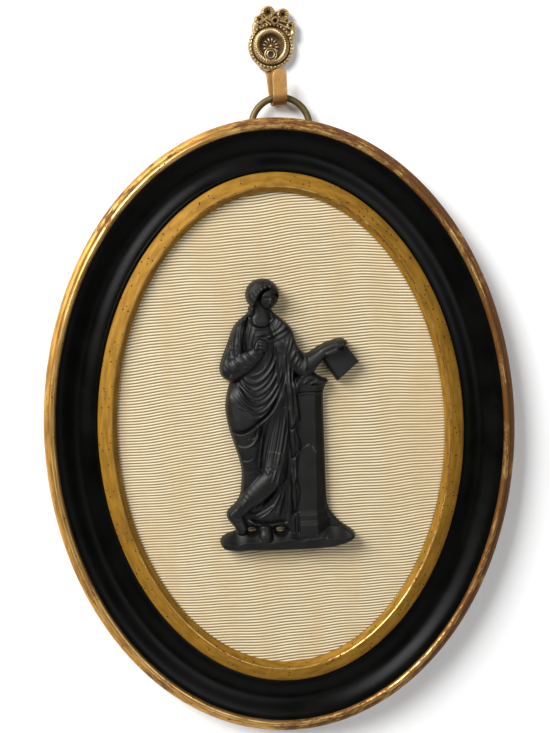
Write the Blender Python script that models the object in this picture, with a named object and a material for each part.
"""Oval framed relief plaque with its hanging ring and its brass wall hook.

The wall is the plane y = 0 and the plaque faces -Y, with +X to the right and +Z up.
The origin is on the flat back of the wall hook, behind the middle of its rosette.
All sizes are in metres.
"""
import math

import bmesh
import bpy
import numpy as np

MM = 0.001
GAP = 0.3 * MM

# Turned oval frame: sizes across the face, then heights off the wall
FRAME_WIDTH = 171.0 * MM
FRAME_HEIGHT = 224.0 * MM
RIM_WIDTH = 4.6 * MM
COVE_WIDTH = 14.5 * MM
BAND_WIDTH = 4.6 * MM
BEVEL_WIDTH = 2.3 * MM
RIM_TOP = 13.4 * MM
INNER_BEAD_RISE = 1.3 * MM
OUTER_BEAD_RISE = 0.9 * MM
OUTER_BEAD_DROP = 3.4 * MM
COVE_DROP = 1.5 * MM
QUIRK = 0.5 * MM
FINE_EDGE = 0.1 * MM
BACK_EDGE = 1.0 * MM
COVE_LOW = 8.6 * MM
BAND_FOOT = 9.8 * MM
SIGHT_RIDGE = 12.4 * MM
BEVEL_FOOT = 10.1 * MM
COVE_LOW_PLACE = 0.60
LIP = 4.5 * MM
FRAME_SEGMENTS = 56

# Silk ground and the board it is stretched over
SILK_FRONT = 9.0 * MM
SILK_THICKNESS = 0.5 * MM
BOARD_THICKNESS = 6.0 * MM
BOARD_CLEARANCE = 0.5 * MM

# Moulded relief
FIGURE_HEIGHT = 98.5 * MM
FIGURE_FOOT = -43.3 * MM
RELIEF_STEP = 0.62 * MM
RELIEF_TRIANGLES = 3500
RELIEF_FIELD = (64.0, -1.5, 103.0)

# Hanging ring and the staple that holds it
RING_RADIUS = 10.4 * MM
RING_WIRE = 1.2 * MM
RING_SEGMENTS = 28
POCKET_CLEARANCE = 2.4 * MM
POCKET_EXTRA_DEPTH = 0.5 * MM
STAPLE_WIRE = 0.8 * MM
STAPLE_LEG = 2.0 * MM

# Wall hook: where the rosette's middle lies from the frame's middle line and top, and its strap
HOOK_ASIDE = 2.5 * MM
HOOK_OVER_FRAME = 25.7 * MM
STRAP_WIDTH = 5.0 * MM
STRAP_THICKNESS = 0.9 * MM
STRAP_ABOVE = 5.2 * MM
STRAP_BELOW = 21.2 * MM
STRAP_LEAN = math.radians(5.0)
FLAP_TOP = -8.7 * MM
FLAP_ASIDE = 0.3 * MM
FLAP_SKEW = 0.09
FLAP_CORNER = 1.6 * MM
THROAT = 5.4 * MM

# Rosette, eyelet and crest
ROSETTE_RADIUS = 8.1 * MM
ROSETTE_LEAN = math.radians(-11.0)
ROSETTE_PLATE = 1.0 * MM
ROSETTE_RING = 6.5 * MM
ROSETTE_WELL = 3.9 * MM
ROSETTE_RISE = 2.6 * MM
ROSETTE_STEP = 0.42 * MM
ROSETTE_TRIANGLES = 820
ROSETTE_FIELD = (2.3, -1.2, 1.75)
EYELET_DROP = 3.2 * MM
EYELET_RADIUS = 2.3 * MM
EYELET_HOLE = 1.0 * MM
EYELET_BARREL = 1.5 * MM
EYELET_STAND = 0.7 * MM
EYELET_LIP = 0.4 * MM

# Ribbon crest in hundredths of the rosette's radius, from its middle, each form once on each side.
# Loops: across, up, radius, half width and rise. Buds: across, up, half axes and rise.
CREST_LOOPS = ((31.0, 135.0, 18.0, 12.0, 25.0), (64.0, 101.0, 13.0, 10.0, 20.0))
CREST_BUD = ((86.0, 66.0), 14.0, 24.0, 19.0)
CREST_KNOT = ((0.0, 108.0), 18.0, 18.0, 31.0)
CREST_WEB = ((0.0, 96.0), 66.0, 44.0, 12.0)

# Places that follow from the sizes
HOOK_ABOVE = FRAME_HEIGHT / 2 + HOOK_OVER_FRAME
MOULDING_WIDTH = RIM_WIDTH + COVE_WIDTH + BAND_WIDTH + BEVEL_WIDTH
REBATE = MOULDING_WIDTH - LIP
REBATE_TOP = SILK_FRONT + GAP
STRAP_FLAP = STRAP_THICKNESS + THROAT
STRAP_BEND = STRAP_THICKNESS + THROAT / 2
HOOK_FLOOR = -STRAP_BELOW + STRAP_THICKNESS
RING_DEPTH = STRAP_BEND
RING_INSIDE = RING_RADIUS - RING_WIRE
RING_SAG = RING_INSIDE - math.sqrt(RING_INSIDE ** 2 - (STRAP_WIDTH / 2) ** 2)
RING_ASIDE = HOOK_ASIDE + STRAP_BELOW * math.sin(STRAP_LEAN) + FLAP_ASIDE / 2
RING_REST = HOOK_FLOOR + GAP + RING_SAG + math.sin(STRAP_LEAN) * STRAP_WIDTH / 2
RING_ABOVE = HOOK_ABOVE + RING_REST - RING_INSIDE
ROSETTE_BACK = STRAP_THICKNESS + GAP

# Relief forms in hundredths of the figure's height, from its foot and the plaque's middle line
BODY_OUTLINE = (
    (-10.9, 90.6), (-10.8, 88.6), (-12.0, 87.4), (-14.1, 86.0), (-16.8, 83.2), (-18.2, 79.3), (-19.8, 75.5),
    (-21.4, 72.0), (-22.3, 68.9), (-22.0, 66.0), (-20.4, 64.3), (-18.5, 63.8), (-19.4, 61.3),
    (-20.6, 57.0), (-20.9, 53.1), (-20.3, 48.7), (-19.4, 44.2), (-18.1, 40.0), (-16.9, 35.7),
    (-16.1, 32.2), (-15.9, 29.0), (-16.4, 25.2), (-16.8, 21.6), (-18.6, 18.6), (-21.0, 16.8),
    (-22.4, 15.0), (-22.1, 12.6), (-20.3, 10.4), (-18.6, 8.6), (-20.7, 7.7), (-23.7, 6.8),
    (-25.3, 4.8), (-24.6, 2.4), (-22.0, 1.2), (-11.0, 0.7), (3.1, 0.1), (13.2, 0.0),
    (19.3, 0.7), (23.9, 2.4), (25.2, 4.2), (24.0, 6.0), (21.3, 7.8), (18.9, 9.9),
    (17.2, 12.2), (15.6, 14.6), (15.0, 18.0), (15.0, 31.0), (15.1, 44.0), (15.2, 56.6),
    (15.5, 58.6), (16.5, 60.9), (17.6, 62.6), (14.4, 63.6), (12.0, 65.6), (13.4, 67.4),
    (16.0, 70.4), (20.0, 72.6), (24.0, 74.6), (25.0, 76.0), (23.2, 77.5), (20.4, 77.2),
    (15.5, 75.7), (12.3, 73.8), (9.3, 72.0), (7.1, 74.3), (5.9, 77.3), (5.2, 80.9),
    (3.6, 83.4), (0.9, 85.8), (-1.5, 87.7), (-2.4, 89.6), (-6.0, 92.0),
)
BOOK_OUTLINE = ((14.7, 70.8), (20.6, 61.6), (28.9, 68.4), (24.9, 74.4), (19.6, 74.6))
FOOT_GAPS = (((-13.1, 8.2), 1.5, 1.0), ((-2.5, 7.8), 1.7, 1.2))
HAIR_OVAL = ((-5.4, 94.5), 6.15, 5.95)
EDGE_RISE = 6.0
EDGE_ROLL = 1.3
CLOTH_FLOOR = 3.0
LIMB_BLEND = 0.5
LIMB_ROUND = 0.8
FOLD_ENDS = 0.35
FOLD_TAPER = 6.0
FOLD_HOLLOW = 0.35
FOLD_REACH = 2.2
BOOK_FACE = 5.2
BOOK_HOLLOW = 0.7
BOOK_HOLLOW_REACH = 8.0

# Each form is a chain of points: across, up, half width, height of its crest off the ground
LIMBS = (
    ((-7.6, 79.5, 8.5, 6.4), (-7.6, 70.0, 9.0, 6.6), (-8.4, 62.0, 10.5, 6.6), (-9.0, 54.0, 12.0, 7.0)),
    ((-13.6, 56.0, 8.0, 7.4), (-13.6, 45.0, 7.4, 7.6), (-12.8, 36.0, 5.4, 6.8), (-12.6, 28.0, 4.6, 6.0),
     (-12.4, 18.0, 3.8, 5.0)),
    ((-0.8, 56.0, 6.5, 6.4), (-2.2, 42.0, 5.8, 7.0), (-4.4, 29.0, 4.9, 8.3)),
    ((-4.8, 28.0, 4.1, 8.2), (-9.8, 23.8, 4.3, 7.9), (-15.4, 18.4, 2.8, 6.6)),
    ((-15.6, 18.0, 3.0, 6.4), (-19.6, 14.6, 2.7, 5.6)),
    ((-19.2, 14.4, 2.6, 5.4), (-17.0, 9.2, 2.3, 6.0)),
    ((-8.6, 8.2, 2.6, 6.4), (-8.5, 6.2, 2.4, 7.6)),
    ((-15.0, 81.0, 5.4, 6.2), (-17.4, 74.0, 5.0, 7.0), (-18.2, 68.0, 4.4, 7.8)),
    ((0.4, 83.0, 4.6, 6.0), (2.8, 77.0, 4.2, 6.6), (5.4, 70.4, 4.2, 6.8), (8.2, 67.8, 3.8, 7.0)),
    ((5.2, 61.0, 2.8, 6.4), (10.0, 63.2, 2.6, 6.4), (16.0, 62.6, 1.6, 5.4)),
    ((0.4, 80.0, 3.6, 5.8), (1.2, 64.0, 4.0, 6.3), (2.4, 50.0, 4.2, 6.3), (2.6, 38.0, 4.0, 6.0),
     (2.0, 24.0, 3.6, 5.4), (1.4, 8.0, 3.4, 4.8)),
    ((-2.0, 28.0, 5.0, 5.6), (-3.6, 20.0, 6.5, 5.0), (-5.4, 13.0, 8.0, 4.4)),
    ((-7.0, 91.0, 3.4, 5.4), (-6.6, 84.5, 3.9, 5.2)),
)

# Forearms and hands lie over the folds, and one hand over the book
FOREARMS = (
    ((-18.0, 68.2, 4.4, 8.0), (-12.4, 71.0, 3.7, 8.9), (-8.2, 74.2, 2.6, 9.4), (-6.4, 76.6, 2.3, 9.5)),
    ((8.4, 67.4, 3.7, 7.3), (12.4, 69.8, 3.2, 7.3), (15.8, 72.8, 2.1, 7.0)),
)
BOOK_HAND = ((15.4, 72.9, 2.0, 7.0), (18.2, 74.4, 2.2, 7.3), (20.8, 75.3, 2.0, 7.7), (23.6, 75.8, 1.5, 7.6))

# Folds: half width, rise off the cloth, then the line they follow
FOLDS = (
    (0.9, 1.0, ((-11.1, 87.4), (-13.4, 80.0), (-13.6, 73.4), (-12.7, 70.8))),
    (0.8, 0.7, ((-14.6, 83.0), (-14.6, 77.8), (-15.4, 72.0))),
    (0.8, 0.7, ((-17.0, 81.8), (-17.8, 76.4), (-18.4, 72.0))),
    (0.8, 0.8, ((-10.6, 83.0), (-11.4, 78.0), (-10.4, 74.0))),
    (0.8, 0.8, ((-1.1, 86.6), (-2.8, 84.2), (-5.9, 82.4), (-8.8, 82.4))),
    (0.9, 0.9, ((0.8, 85.0), (-1.2, 81.6), (-5.2, 79.8))),
    (0.9, 0.9, ((2.8, 82.6), (-0.4, 79.6), (-3.4, 77.8))),
    (0.8, 0.7, ((3.8, 79.0), (2.0, 75.0), (0.6, 70.0))),
    (1.0, 1.0, ((-14.6, 66.4), (-11.4, 62.6), (-7.5, 63.8), (-4.2, 66.8), (-1.6, 72.0))),
    (1.0, 1.0, ((-15.4, 65.2), (-12.4, 60.0), (-9.4, 58.0), (-5.3, 60.4), (-2.4, 64.2), (0.0, 72.0))),
    (1.0, 0.9, ((-16.6, 63.2), (-14.8, 58.4), (-9.6, 54.6), (-5.8, 56.4), (-2.0, 60.4), (0.8, 68.0))),
    (1.0, 0.8, ((-17.0, 57.6), (-13.4, 54.0), (-9.2, 51.2), (-5.6, 53.0), (-1.6, 58.6), (1.4, 65.0))),
    (1.0, 1.2, ((-20.0, 46.6), (-16.8, 45.0), (-13.1, 45.6), (-9.0, 48.4), (-4.9, 52.0), (-2.2, 56.4),
                (0.4, 62.4))),
    (0.9, 0.8, ((-17.2, 40.4), (-14.0, 39.4), (-11.0, 41.6), (-8.8, 46.0))),
    (0.7, 0.5, ((-16.2, 34.3), (-13.6, 33.6), (-11.2, 35.0))),
    (0.9, 1.0, ((-4.2, 50.5), (-6.9, 43.1), (-8.5, 35.2), (-9.6, 28.8))),
    (0.9, 1.0, ((-2.4, 51.6), (-4.5, 43.0), (-6.4, 36.0), (-7.6, 30.4))),
    (0.9, 1.0, ((-0.6, 51.9), (-2.2, 42.8), (-4.1, 35.8), (-5.2, 31.2))),
    (0.9, 0.9, ((1.0, 50.0), (-0.4, 42.3), (-1.8, 34.0), (-2.4, 30.0))),
    (0.9, 1.0, ((6.4, 74.0), (3.6, 70.0), (2.6, 65.0), (2.8, 55.0), (1.6, 47.0))),
    (0.9, 0.9, ((6.8, 70.0), (5.0, 66.0), (4.6, 60.0), (5.0, 50.4))),
    (0.9, 0.9, ((4.0, 47.0), (6.2, 40.0), (4.0, 36.6), (3.8, 25.6))),
    (0.9, 0.9, ((4.2, 26.0), (6.0, 20.4), (3.6, 16.6), (3.4, 7.6))),
    (0.9, 0.8, ((1.9, 34.0), (1.6, 24.0), (0.8, 11.0))),
    (0.9, 0.8, ((0.2, 26.5), (-1.2, 12.0))),
    (0.9, 0.8, ((-2.2, 23.0), (-4.4, 12.6))),
    (0.9, 0.9, ((-3.0, 22.0), (-6.6, 17.4), (-11.6, 14.6))),
    (0.9, 0.8, ((-14.0, 12.6), (-10.6, 10.8), (-6.6, 10.8), (-2.6, 11.2), (-0.4, 10.8))),
    (0.8, 0.8, ((5.4, 61.4), (7.4, 64.0), (11.0, 65.0))),
    (0.8, 0.7, ((7.8, 61.2), (11.0, 63.2), (16.6, 62.8))),
)

# Ends of the cloth that hang beside the pedestal: rise, height where they fade out, outline
PANELS = (
    (1.1, 64.0, ((1.3, 66.0), (6.0, 66.0), (6.0, 54.0), (6.7, 48.9), (4.4, 47.6), (2.3, 45.6), (1.9, 50.5))),
    (1.0, 50.0, ((1.9, 50.0), (4.3, 50.0), (4.7, 43.4), (6.8, 38.7), (4.3, 37.2), (2.7, 34.8), (2.0, 41.0))),
    (1.0, 31.0, ((1.8, 31.0), (4.0, 31.0), (4.2, 26.0), (6.0, 21.4), (3.9, 17.2), (2.5, 14.0), (1.9, 20.0))),
)
PANEL_FADE = 5.0

# Pedestal: the upright edge between its front and its side, its faces, and its mouldings, each as
# lower edge, upper edge and how far it stands out
ARRIS = 10.4
ARRIS_LEAN = 0.024
SHAFT_LEFT = 3.8
SHAFT_FACE = 5.2
SHAFT_TURN = 0.05
SHAFT_FALL = 0.75
SHAFT_TOP = 61.3
MOULDINGS = ((58.9, 61.3, 0.8), (57.6, 58.9, 0.4), (13.5, 14.5, 0.5), (11.0, 13.5, 0.8), (10.0, 11.0, 1.2),
             (5.0, 10.0, 1.6))

# Mound under the feet: front crest, and the slope behind it
MOUND_CREST = 4.4
MOUND_FACE = 6.8
MOUND_FALL = 3.2
MOUND_DEPTH = 4.0
MOUND_TOP = 8.2

# Head: round of the skull, line where the hair starts, and its roll round the face
SKULL_BASE = 3.0
SKULL_RISE = 5.4
HAIRLINE = ((0.9, 92.2), (-0.6, 94.4), (-1.9, 96.0), (-3.5, 96.9), (-5.4, 96.3), (-7.0, 94.6), (-7.9, 92.6),
            (-8.6, 90.8), (-9.9, 89.9), (-12.2, 89.4))
HAIR_ROLL = 1.0
HAIR_ROLL_WIDTH = 0.95
HAIR_BAND = 2.6
HAIR_LOCKS = 6.5
HAIR_TWIST = 0.21
HAIR_LOCK_RISE = 0.42
NAPE = ((-9.6, 93.0, 2.1, 6.6), (-10.1, 90.4, 1.7, 6.2), (-9.9, 88.2, 1.1, 5.6))

# Plain face on even thirds, turned to the right: middle, half height, half widths and bend
FACE_MIDDLE = (-3.9, 92.6)
FACE_HALF = 4.2
FACE_SIDES = (4.0, 2.1)
FACE_BEND = 1.1
FACE_LEAN = 0.3
JAW_TAPER = 0.28
THIRD = 1.0 / 3.0
FACE_STEP = 3.2
NOSE_RISE = 1.0
NOSE_WIDTH = 0.17

# Forms of the face in shares of its halves: rise, place on each side, width, level, height
FACE_FORMS = (
    (0.20, 0.0, 0.80, 0.38, 0.11),
    (-0.60, 0.43, 0.23, 0.19, 0.12),
    (0.30, 0.43, 0.15, 0.17, 0.07),
    (0.30, 0.0, 0.32, -0.52, 0.10),
    (-0.30, 0.0, 0.26, -0.70, 0.06),
    (0.50, 0.0, 0.28, -0.88, 0.12),
    (0.16, 0.52, 0.25, -0.12, 0.20),
)


def clear_scene():
    """Remove every object that is in the scene."""
    for item in list(bpy.data.objects):
        bpy.data.objects.remove(item, do_unlink=True)


def collection(name):
    """Make a collection in the scene."""
    group = bpy.data.collections.new(name)
    bpy.context.scene.collection.children.link(group)
    return group


def material(name, colour, roughness, metallic=0.0):
    """Make a plain Principled material."""
    made = bpy.data.materials.new(name)
    made.use_nodes = True
    shader = made.node_tree.nodes["Principled BSDF"]
    shader.inputs["Base Color"].default_value = (*colour, 1.0)
    shader.inputs["Roughness"].default_value = roughness
    shader.inputs["Metallic"].default_value = metallic
    made.diffuse_color = (*colour, 1.0)
    return made


def place(data, name, group, finish, parent=None):
    """Put new data in the scene as a named object."""
    item = bpy.data.objects.new(name, data)
    group.objects.link(item)
    if finish:
        data.materials.append(finish)
    item.parent = parent
    return item


def guide(item):
    """Show an object as a guide only."""
    item.hide_render = True
    item.display_type = "WIRE"
    return item


def poly_curve(name, points, closed):
    """Make 2D curve data through the points."""
    data = bpy.data.curves.new(name, "CURVE")
    data.dimensions = "2D"
    spline = data.splines.new("POLY")
    spline.points.add(len(points) - 1)
    for point, (x, y) in zip(spline.points, points):
        point.co = (x, y, 0.0, 1.0)
    spline.use_cyclic_u = closed
    return data


def wire_curve(name, points, radius, closed, sides=2):
    """Make a round wire of curve data through the points."""
    data = bpy.data.curves.new(name, "CURVE")
    data.dimensions = "3D"
    data.bevel_depth = radius
    data.bevel_resolution = sides
    data.use_fill_caps = not closed
    spline = data.splines.new("POLY")
    spline.points.add(len(points) - 1)
    for point, place_at in zip(spline.points, points):
        point.co = (*place_at, 1.0)
    spline.use_cyclic_u = closed
    return data


def as_mesh(item, group, finish):
    """Turn a curve object into a welded mesh object of the same name and place."""
    bpy.context.view_layer.update()
    evaluated = item.evaluated_get(bpy.context.evaluated_depsgraph_get())
    mesh = bpy.data.meshes.new_from_object(evaluated)
    work = bmesh.new()
    work.from_mesh(mesh)
    bmesh.ops.remove_doubles(work, verts=work.verts, dist=0.00001)
    bmesh.ops.recalc_face_normals(work, faces=work.faces)
    work.to_mesh(mesh)
    work.free()
    name, parent, matrix = item.name, item.parent, item.matrix_world.copy()
    bpy.data.objects.remove(item, do_unlink=True)
    mesh.materials.clear()
    solid = place(mesh, name, group, finish, parent)
    solid.matrix_world = matrix
    return solid


def cut(item, cutter):
    """Cut one object with another."""
    step = item.modifiers.new("cut_" + cutter.name, "BOOLEAN")
    step.operation = "DIFFERENCE"
    step.solver = "EXACT"
    step.object = cutter


def cylinder(name, radius, length, group, sides, parent=None):
    """Make a cylinder along Y whose middle is at its object's origin."""
    mesh = bpy.data.meshes.new(name)
    work = bmesh.new()
    bmesh.ops.create_cone(work, cap_ends=True, segments=sides, radius1=radius, radius2=radius, depth=length)
    work.to_mesh(mesh)
    work.free()
    item = place(mesh, name, group, None, parent)
    item.rotation_euler = (math.pi / 2, 0.0, 0.0)
    return item


def oval(inset, segments):
    """Points of the line that runs at an inset inside the frame's outline."""
    half_x, half_z = FRAME_WIDTH / 2, FRAME_HEIGHT / 2
    points = []
    for step in range(segments):
        turn = math.tau * step / segments
        normal = (math.cos(turn) / half_x, math.sin(turn) / half_z)
        size = math.hypot(*normal)
        points.append((half_x * math.cos(turn) - inset * normal[0] / size,
                       half_z * math.sin(turn) - inset * normal[1] / size))
    return points


def bead(start, end, rise, steps):
    """Points over a round bead from start to end, without the end."""
    points = []
    for step in range(steps):
        share = step / steps
        across = start[0] + (end[0] - start[0]) * (0.5 - 0.5 * math.cos(math.pi * share))
        base = start[1] + (end[1] - start[1]) * share
        points.append((across, base + rise * math.sin(math.pi * share)))
    return points


def cove(start, end, low, low_place, steps):
    """Points down a hollow from start and up to end, without the start."""
    points = []
    for step in range(1, steps + 1):
        share = step / steps
        across = start[0] + (end[0] - start[0]) * share
        if share < low_place:
            lift = (start[1] - low) * (1 - share / low_place) ** 2.2
        else:
            lift = (end[1] - low) * ((share - low_place) / (1 - low_place)) ** 2
        points.append((across, low + lift))
    return points


def frame_profile():
    """Section of the moulding: inset from the outline, then height off the wall."""
    shoulder = RIM_TOP - OUTER_BEAD_DROP
    valley = RIM_TOP - INNER_BEAD_RISE
    black = RIM_TOP - COVE_DROP
    half_rim = RIM_WIDTH / 2
    cove_end = RIM_WIDTH + COVE_WIDTH
    ridge = cove_end + BAND_WIDTH
    points = [(BACK_EDGE, 0.0), (BACK_EDGE / 4, shoulder / 4), (0.0, shoulder * 0.6)]
    points += bead((FINE_EDGE, shoulder), (half_rim, valley), OUTER_BEAD_RISE, 4)
    points += bead((half_rim, valley), (RIM_WIDTH, valley), INNER_BEAD_RISE, 4)
    points += [(RIM_WIDTH, valley), (RIM_WIDTH + 2 * FINE_EDGE, black)]
    points += cove(points[-1], (cove_end, BAND_FOOT - QUIRK), COVE_LOW, COVE_LOW_PLACE, 7)
    points += [(cove_end + FINE_EDGE, BAND_FOOT), (ridge - 3 * FINE_EDGE, SIGHT_RIDGE - 1.5 * FINE_EDGE)]
    points += [(ridge, SIGHT_RIDGE), (ridge + 3.5 * FINE_EDGE, SIGHT_RIDGE - 2 * FINE_EDGE)]
    points += [(MOULDING_WIDTH, BEVEL_FOOT), (MOULDING_WIDTH, REBATE_TOP)]
    points += [(REBATE, REBATE_TOP), (REBATE, 0.0)]
    return points


def build_frame(group, guides, middle, finish):
    """Sweep the moulding round the oval and bore the pocket for the ring in its back."""
    profile = guide(place(poly_curve("moulding_section", frame_profile(), True), "moulding_section",
                          guides, None))
    path = poly_curve("frame_moulding", oval(0.0, FRAME_SEGMENTS), True)
    path.bevel_mode = "OBJECT"
    path.bevel_object = profile
    path.fill_mode = "NONE"
    item = place(path, "frame_moulding", group, None, middle)
    item.rotation_euler = (math.pi / 2, 0.0, 0.0)
    item = as_mesh(item, group, finish)
    pocket_depth = RING_DEPTH + RING_WIRE + POCKET_EXTRA_DEPTH
    pocket = cylinder("ring_pocket", RING_RADIUS + RING_WIRE + POCKET_CLEARANCE, 2 * pocket_depth, guides,
                      40, middle)
    pocket.location = (RING_ASIDE, 0.0, RING_ABOVE)
    cut(item, guide(pocket))
    for name, height in staple_legs():
        hole = cylinder("staple_hole_" + name, STAPLE_WIRE + GAP, 2 * STAPLE_LEG + 2 * GAP, guides, 12, middle)
        hole.location = (RING_ASIDE, -pocket_depth, height)
        cut(item, guide(hole))
    return item


def oval_plate(name, inset, front, thickness, group, middle, finish):
    """Make a flat oval plate whose front is at a height off the wall."""
    data = poly_curve(name, oval(inset, FRAME_SEGMENTS), True)
    data.fill_mode = "BOTH"
    data.extrude = thickness / 2
    item = place(data, name, group, finish, middle)
    item.rotation_euler = (math.pi / 2, 0.0, 0.0)
    item.location = (0.0, -(front - thickness / 2), 0.0)
    return item


def smooth_line(points, rounds, closed=False):
    """Cut the corners of a line of points, so that it bends softly."""
    line = np.array(points, float)
    for _ in range(rounds):
        follow = np.roll(line, -1, axis=0) if closed else line[1:]
        start = line if closed else line[:-1]
        cuts = np.stack([0.75 * start + 0.25 * follow, 0.25 * start + 0.75 * follow], axis=1)
        cuts = cuts.reshape(-1, line.shape[1])
        line = cuts if closed else np.vstack([line[:1], cuts, line[-1:]])
    return line


def line_field(x, z, line):
    """Distance to a line, share of the way along it, and the side, 1 to the left of the way."""
    near = np.full(x.shape, 1000.0)
    along = np.zeros(x.shape)
    side = np.ones(x.shape)
    count = len(line) - 1
    for index, ((x0, z0), (x1, z1)) in enumerate(zip(line, line[1:])):
        dx, dz = x1 - x0, z1 - z0
        share = np.clip(((x - x0) * dx + (z - z0) * dz) / (dx * dx + dz * dz), 0.0, 1.0)
        away = np.hypot(x - x0 - dx * share, z - z0 - dz * share)
        nearer = away < near
        near = np.where(nearer, away, near)
        along = np.where(nearer, (index + share) / count, along)
        side = np.where(nearer, np.sign(dx * (z - z0) - dz * (x - x0)), side)
    return near, along, side


def inside_distance(x, z, outline):
    """Distance to a closed outline, positive inside it."""
    ring = np.vstack([outline, outline[:1]])
    near, _, _ = line_field(x, z, ring)
    inside = np.zeros(x.shape, dtype=bool)
    for (x0, z0), (x1, z1) in zip(ring, ring[1:]):
        crosses = (z0 > z) != (z1 > z)
        rise = z1 - z0 if z1 != z0 else 1.0
        inside ^= crosses & (x < x0 + (x1 - x0) * (z - z0) / rise)
    return np.where(inside, near, -near)


def oval_distance(x, z, shape):
    """Distance inside an oval given as its middle and its two half axes."""
    (cx, cz), half_x, half_z = shape
    return (1.0 - np.hypot((x - cx) / half_x, (z - cz) / half_z)) * min(half_x, half_z)


def dome(share):
    """Height of a round form from the share of the way to its edge."""
    return np.sqrt(np.clip(1.0 - share ** 2, 0.0, 1.0))


def swell(away, width):
    """Height of a soft bump from the distance to its middle."""
    return np.exp(-(away / width) ** 2)


def edge_lift(inside, roll):
    """Share of the full height that a rolled edge leaves, at a distance from the outline."""
    return dome(1.0 - np.clip(np.abs(inside) / roll, 0.0, 1.0))


def soft_max(first, second, blend):
    """Greater of two heights with a soft join."""
    mix = np.clip(0.5 + 0.5 * (first - second) / blend, 0.0, 1.0)
    return second + (first - second) * mix + blend * mix * (1.0 - mix)


def add_limb(x, z, height, chain):
    """Raise a round limb along a chain of points."""
    limb = np.full(x.shape, -EDGE_RISE)
    for first, last in zip(chain, chain[1:]):
        dx, dz = last[0] - first[0], last[1] - first[1]
        share = np.clip(((x - first[0]) * dx + (z - first[1]) * dz) / (dx * dx + dz * dz), 0.0, 1.0)
        half = first[2] + (last[2] - first[2]) * share
        crest = first[3] + (last[3] - first[3]) * share
        near = np.hypot(x - first[0] - dx * share, z - first[1] - dz * share) / half
        form = crest - np.minimum(crest, LIMB_ROUND * half) * (1.0 - dome(near))
        limb = np.where(near < 1.0, np.maximum(limb, form), limb)
    return np.where(limb > -EDGE_RISE, soft_max(limb, height, LIMB_BLEND), height)


def fold_height(x, z, width, rise, points):
    """Height of a fold's crest, with the hollows beside it."""
    away, along, _ = line_field(x, z, smooth_line(points, 1))
    taper = np.clip(FOLD_TAPER * along, FOLD_ENDS, 1.0) * np.clip(FOLD_TAPER * (1.0 - along), FOLD_ENDS, 1.0)
    return rise * taper * (swell(away, width) - FOLD_HOLLOW * swell(away, FOLD_REACH * width))


def panel_height(x, z, rise, top, outline):
    """Height of a hanging end of cloth that fades out at its top."""
    inside = inside_distance(x, z, np.array(outline))
    return np.where(inside > 0.0, rise * np.clip((top - z) / PANEL_FADE, 0.0, 1.0), 0.0)


def pedestal_height(x, z):
    """Height of the pedestal's two faces and its mouldings."""
    arris = ARRIS + ARRIS_LEAN * z
    beyond = np.clip(x - arris, 0.0, None)
    height = np.minimum(SHAFT_FACE - SHAFT_TURN * (arris - x), SHAFT_FACE - SHAFT_FALL * beyond)
    for low, high, stand in MOULDINGS:
        height = np.where((z > low) & (z < high), height + stand, height)
    return np.where((x > SHAFT_LEFT) & (z < SHAFT_TOP), height, 0.0)


def mound_height(z):
    """Height of the low mound under the feet."""
    slope = np.clip((z - MOUND_CREST) / MOUND_DEPTH, 0.0, 1.0)
    return np.where(z < MOUND_TOP, MOUND_FACE - MOUND_FALL * slope, 0.0)


def face_relief(x, z):
    """Relief of the face on the round of the head, and a measure that reaches 1 at the jaw."""
    up = (z - FACE_MIDDLE[1]) / FACE_HALF
    middle = FACE_MIDDLE[0] + FACE_BEND * dome(up / 1.25) + FACE_LEAN * up
    side = (x - middle) / np.where(x < middle, *FACE_SIDES)
    jaw = np.hypot(side / (1.0 - JAW_TAPER * np.clip(-up, 0.0, 1.0) ** 1.5), up)
    along = np.clip((THIRD - up) / (2 * THIRD), 0.0, 1.0)
    height = NOSE_RISE * (THIRD + (1.0 - THIRD) * along) * swell(side, NOSE_WIDTH) * (np.abs(up) < THIRD)
    for rise, place_at, width, level, tall in FACE_FORMS:
        for at in {-place_at, place_at}:
            height = height + rise * swell(side - at, width) * swell(up - level, tall)
    return height, jaw


def head_height(x, z):
    """Height of the head: round skull, hair rolled round the face, and the face itself."""
    (hair_x, hair_z), half_x, half_z = HAIR_OVAL
    far = np.hypot((x - hair_x) / half_x, (z - hair_z) / half_z)
    skull = SKULL_BASE + SKULL_RISE * dome(far)
    relief, jaw = face_relief(x, z)
    face = skull + relief - FACE_STEP * (jaw > 1.0)
    away, along, side = line_field(x, z, smooth_line(HAIRLINE, 1))
    out = -side * away
    locks = HAIR_LOCK_RISE * np.sin(math.tau * (HAIR_LOCKS * along + HAIR_TWIST * out)) * (out < HAIR_BAND)
    hair = skull + HAIR_ROLL * swell(out - HAIR_ROLL_WIDTH, HAIR_ROLL_WIDTH) + locks
    return np.where(far < 1.0, np.where(out > 0.0, hair, face), 0.0)


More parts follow.
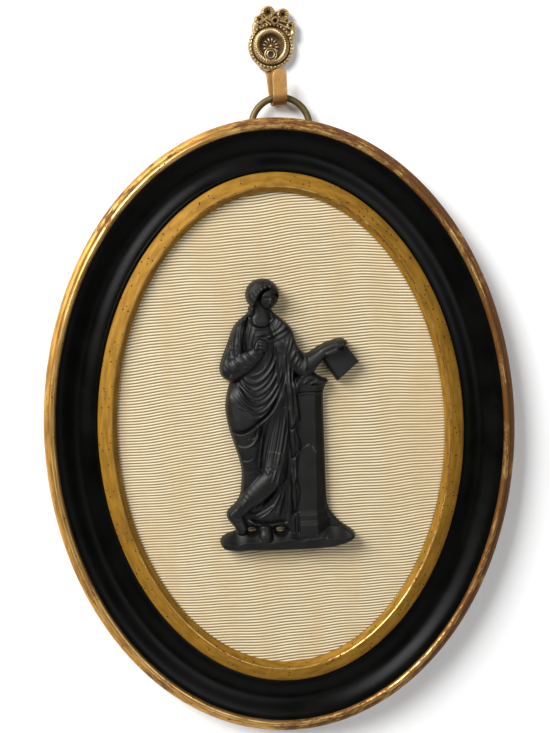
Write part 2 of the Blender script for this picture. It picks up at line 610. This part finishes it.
def figure_height(x, z):
    """Height of the whole relief off the silk, in hundredths of the figure's height."""
    book = inside_distance(x, z, np.array(BOOK_OUTLINE))
    inside = np.maximum(inside_distance(x, z, smooth_line(BODY_OUTLINE, 1, True)), book)
    inside = np.maximum(inside, oval_distance(x, z, HAIR_OVAL))
    for gap in FOOT_GAPS:
        inside = np.minimum(inside, -oval_distance(x, z, gap))
    cloth = np.full(x.shape, CLOTH_FLOOR)
    for chain in LIMBS:
        cloth = add_limb(x, z, cloth, chain)
    for width, rise, points in FOLDS:
        cloth = cloth + fold_height(x, z, width, rise, points)
    for rise, top, outline in PANELS:
        cloth = cloth + panel_height(x, z, rise, top, outline)
    for chain in FOREARMS:
        cloth = add_limb(x, z, cloth, chain)
    height = np.maximum(np.maximum(cloth, pedestal_height(x, z)), mound_height(z))
    (book_x, book_z) = np.mean(BOOK_OUTLINE, axis=0)
    slab = BOOK_FACE - BOOK_HOLLOW * dome(np.hypot(x - book_x, z - book_z) / BOOK_HOLLOW_REACH)
    height = np.where(book > 0.0, slab, height)
    height = add_limb(x, z, height, BOOK_HAND)
    height = add_limb(x, z, np.maximum(height, head_height(x, z)), NAPE)
    return np.where(inside > 0.0, height, -EDGE_RISE) * edge_lift(inside, EDGE_ROLL)


def relief_solid(name, field, size, foot, step, back, triangles, group, finish, parent):
    """Make a closed solid with a flat back from a field of heights.

    field gives the height at arrays of places across and up. size is the width, and the lowest
    and highest place that the field covers. back is how far the flat back is off the wall.
    """
    width, low, high = size
    columns, rows = round(width / step), round((high - low) / step)
    work = bmesh.new()
    bmesh.ops.create_grid(work, x_segments=columns, y_segments=rows, size=0.5)
    across = np.array([vert.co.x for vert in work.verts]) * width
    upward = low + (np.array([vert.co.y for vert in work.verts]) + 0.5) * (high - low)
    heights = field(across, upward)
    for vert, x, z, height in zip(work.verts, across, upward, heights):
        vert.co = (x, -(back + height), z + foot)
    outside = [face for face in work.faces if max(-vert.co.y - back for vert in face.verts) < -step]
    bmesh.ops.delete(work, geom=outside, context="FACES")
    dense = bpy.data.meshes.new(name)
    work.to_mesh(dense)
    count = len(work.faces) * 2
    work.free()
    item = place(dense, name, group, finish, parent)
    reduce = item.modifiers.new("reduce", "DECIMATE")
    reduce.ratio = min(1.0, triangles / count)
    bpy.context.view_layer.update()
    thinned = bpy.data.meshes.new_from_object(item.evaluated_get(bpy.context.evaluated_depsgraph_get()))
    item.modifiers.remove(reduce)
    item.data = close_back(thinned, back)
    bpy.data.meshes.remove(dense)
    return item


def close_back(mesh, back):
    """Cut a relief off at its back plane and close it there."""
    work = bmesh.new()
    work.from_mesh(mesh)
    geometry = list(work.verts) + list(work.edges) + list(work.faces)
    bmesh.ops.bisect_plane(work, geom=geometry, dist=0.000002, plane_co=(0.0, -back, 0.0),
                           plane_no=(0.0, 1.0, 0.0), clear_outer=True)
    bmesh.ops.remove_doubles(work, verts=work.verts, dist=0.00002)
    loose = [vert for vert in work.verts if not vert.link_faces]
    bmesh.ops.delete(work, geom=loose, context="VERTS")
    rim = [edge for edge in work.edges if len(edge.link_faces) == 1]
    bmesh.ops.triangle_fill(work, edges=rim, use_beauty=True, normal=(0.0, 1.0, 0.0))
    bmesh.ops.recalc_face_normals(work, faces=work.faces)
    work.to_mesh(mesh)
    work.free()
    return mesh


def build_figure(group, middle, finish):
    """Make the moulded figure with its pedestal, book and mound as one solid."""
    share = FIGURE_HEIGHT / 100.0

    def field(x, z):
        return share * figure_height(x / share, z / share)

    size = tuple(share * value for value in RELIEF_FIELD)
    return relief_solid("relief_figure", field, size, FIGURE_FOOT, RELIEF_STEP, SILK_FRONT + GAP,
                        RELIEF_TRIANGLES, group, finish, middle)


def staple_legs():
    """Names and heights of the staple's two legs, from the middle of the frame."""
    reach = RING_WIRE + GAP + STAPLE_WIRE
    low = RING_ABOVE - RING_RADIUS
    return (("lower", low - reach), ("upper", low + reach))


def build_ring(group, middle, finish):
    """Make the hanging ring as a torus."""
    bpy.ops.mesh.primitive_torus_add(major_segments=RING_SEGMENTS, minor_segments=8, major_radius=RING_RADIUS,
                                     minor_radius=RING_WIRE, rotation=(math.pi / 2, 0.0, 0.0))
    item = bpy.context.object
    item.name = "hanging_ring"
    for owner in list(item.users_collection):
        owner.objects.unlink(item)
    group.objects.link(item)
    item.data.materials.append(finish)
    item.parent = middle
    item.location = (RING_ASIDE, -RING_DEPTH, RING_ABOVE)
    return item


def build_staple(group, middle, finish):
    """Make the wire staple that holds the ring to the back of the frame."""
    (_, low), (_, high) = staple_legs()
    reach = (high - low) / 2
    centre = (low + high) / 2
    tip = -(RING_DEPTH + RING_WIRE + POCKET_EXTRA_DEPTH + STAPLE_LEG)
    points = [(RING_ASIDE, tip, low)]
    for step in range(9):
        turn = math.pi * step / 8
        points.append((RING_ASIDE, -RING_DEPTH + reach * math.sin(turn), centre - reach * math.cos(turn)))
    points.append((RING_ASIDE, tip, high))
    return place(wire_curve("ring_staple", points, STAPLE_WIRE, False), "ring_staple", group, finish, middle)


def strap_outline():
    """Side outline of the hook's strap: depth off the wall, then height from the rosette's middle."""
    outer_radius, inner_radius = STRAP_BEND, THROAT / 2
    floor = -STRAP_BELOW + outer_radius
    points = [(0.0, STRAP_ABOVE)]
    for step in range(9):
        turn = math.pi * step / 8
        points.append((STRAP_BEND - outer_radius * math.cos(turn), floor - outer_radius * math.sin(turn)))
    points += [(STRAP_FLAP + STRAP_THICKNESS, FLAP_TOP), (STRAP_FLAP, FLAP_TOP)]
    for step in range(9):
        turn = math.pi * (1 - step / 8)
        points.append((STRAP_BEND - inner_radius * math.cos(turn), floor - inner_radius * math.sin(turn)))
    points.append((STRAP_THICKNESS, STRAP_ABOVE))
    return points


def build_strap(group, guides, hook, finish):
    """Bend the flat strap into the open hook that carries the ring."""
    data = poly_curve("hook_strap", strap_outline(), True)
    data.fill_mode = "BOTH"
    data.extrude = STRAP_WIDTH / 2
    item = place(data, "hook_strap", group, None, hook)
    item = as_mesh(item, group, finish)
    work = bmesh.new()
    work.from_mesh(item.data)
    for vert in work.verts:
        depth, height, across = vert.co
        forward = depth / (STRAP_FLAP + STRAP_THICKNESS)
        aside = FLAP_ASIDE + FLAP_SKEW * (height + STRAP_BELOW)
        vert.co = (across + aside * forward, -depth, height)
    bmesh.ops.recalc_face_normals(work, faces=work.faces)
    corners = [edge for edge in work.edges
               if all(abs(vert.co.z - FLAP_TOP) < GAP and -vert.co.y > STRAP_BEND for vert in edge.verts)
               and abs(edge.verts[0].co.y - edge.verts[1].co.y) > STRAP_THICKNESS / 2]
    bmesh.ops.bevel(work, geom=corners, offset=FLAP_CORNER, offset_type="OFFSET", segments=4, profile=0.5,
                    affect="EDGES")
    work.to_mesh(item.data)
    work.free()
    item.rotation_euler = (0.0, -STRAP_LEAN, 0.0)
    cut(item, eyelet_bore("strap_bore", guides, hook))
    return item


def eyelet_bore(name, guides, hook):
    """Make the cutter for the hole that the eyelet's barrel passes through."""
    length = 2 * (ROSETTE_BACK + ROSETTE_RISE + EYELET_STAND)
    bore = cylinder(name, EYELET_BARREL + GAP, length, guides, 20, hook)
    bore.location = (0.0, 0.0, -EYELET_DROP)
    return guide(bore)


def rosette_height(x, z):
    """Height of the stamped rosette and its crest off its back."""
    radius = np.hypot(x, z)
    ring_middle = (ROSETTE_RING + ROSETTE_WELL) / 2
    ring_half = (ROSETTE_RING - ROSETTE_WELL) / 2
    height = ROSETTE_PLATE + (ROSETTE_RISE - ROSETTE_PLATE) * dome(np.abs(radius - ring_middle) / ring_half)
    inside = ROSETTE_RADIUS - radius
    unit = ROSETTE_RADIUS / 100.0
    across, up = np.abs(x) / unit, z / unit
    for loop_x, loop_z, loop_radius, half, rise in CREST_LOOPS:
        away = np.hypot(across - loop_x, up - loop_z)
        height = np.maximum(height, unit * rise * dome(np.abs(away - loop_radius) / half))
        inside = np.maximum(inside, unit * (loop_radius + half - away))
    for (form_x, form_z), half_x, half_z, rise in (CREST_BUD, CREST_KNOT, CREST_WEB):
        away = np.hypot((across - form_x) / half_x, (up - form_z) / half_z)
        height = np.maximum(height, unit * rise * dome(away))
        inside = np.maximum(inside, unit * min(half_x, half_z) * (1.0 - away))
    return np.where(inside > 0.0, height, -ROSETTE_PLATE) * edge_lift(inside, ROSETTE_PLATE / 2)


def build_rosette(group, guides, hook, finish):
    """Make the stamped rosette with its ribbon crest."""
    size = tuple(ROSETTE_RADIUS * value for value in ROSETTE_FIELD)
    item = relief_solid("hook_rosette", rosette_height, size, 0.0, ROSETTE_STEP, ROSETTE_BACK,
                        ROSETTE_TRIANGLES, group, finish, hook)
    item.rotation_euler = (0.0, -ROSETTE_LEAN, 0.0)
    cut(item, eyelet_bore("rosette_bore", guides, hook))
    return item


def build_eyelet(group, hook, finish):
    """Turn the eyelet that joins rosette and strap and takes the nail."""
    back = STRAP_THICKNESS * 0.25
    face = ROSETTE_BACK + ROSETTE_RISE + GAP
    front = face + EYELET_STAND
    profile = [(EYELET_RADIUS * 0.92, face), (EYELET_BARREL, face), (EYELET_BARREL, back), (EYELET_HOLE, back),
               (EYELET_HOLE, front - EYELET_LIP / 2), (EYELET_HOLE + EYELET_LIP * 0.75, front),
               (EYELET_RADIUS - EYELET_LIP, front), (EYELET_RADIUS, front - EYELET_LIP)]
    mesh = bpy.data.meshes.new("hook_eyelet")
    work = bmesh.new()
    verts = [work.verts.new((radius, 0.0, height)) for radius, height in profile]
    edges = [work.edges.new(pair) for pair in zip(verts, verts[1:] + verts[:1])]
    bmesh.ops.spin(work, geom=verts + edges, cent=(0.0, 0.0, 0.0), axis=(0.0, 0.0, 1.0), angle=math.tau,
                   steps=16, use_merge=True)
    bmesh.ops.remove_doubles(work, verts=work.verts, dist=0.00001)
    bmesh.ops.recalc_face_normals(work, faces=work.faces)
    work.to_mesh(mesh)
    work.free()
    item = place(mesh, "hook_eyelet", group, finish, hook)
    item.location = (0.0, 0.0, -EYELET_DROP)
    item.rotation_euler = (math.pi / 2, 0.0, 0.0)
    return item


def main():
    """Build every piece of the plaque."""
    clear_scene()
    plaque = collection("relief_plaque")
    guides = collection("cutters")
    wood = material("black_and_gilt_wood", (0.05, 0.04, 0.03), 0.4)
    card = material("backing_wood", (0.36, 0.25, 0.15), 0.8)
    silk = material("ivory_ribbed_silk", (0.72, 0.63, 0.48), 0.6)
    basalt = material("black_basalt", (0.03, 0.03, 0.03), 0.45)
    old_brass = material("dark_brass", (0.30, 0.24, 0.10), 0.4, 1.0)
    gilt_brass = material("gilt_brass", (0.62, 0.42, 0.16), 0.35, 1.0)

    middle = bpy.data.objects.new("middle_of_frame", None)
    plaque.objects.link(middle)
    middle.location = (-HOOK_ASIDE, 0.0, -HOOK_ABOVE)
    hook = bpy.data.objects.new("middle_of_hook", None)
    plaque.objects.link(hook)

    build_frame(plaque, guides, middle, wood)
    oval_plate("silk_ground", REBATE + BOARD_CLEARANCE, SILK_FRONT, SILK_THICKNESS, plaque, middle, silk)
    board_front = SILK_FRONT - SILK_THICKNESS - GAP
    oval_plate("backing_board", REBATE + BOARD_CLEARANCE, board_front, BOARD_THICKNESS, plaque, middle, card)
    build_figure(plaque, middle, basalt)
    build_ring(plaque, middle, old_brass)
    build_staple(plaque, middle, old_brass)
    build_strap(plaque, guides, hook, gilt_brass)
    build_rosette(plaque, guides, hook, gilt_brass)
    build_eyelet(plaque, hook, gilt_brass)


main()
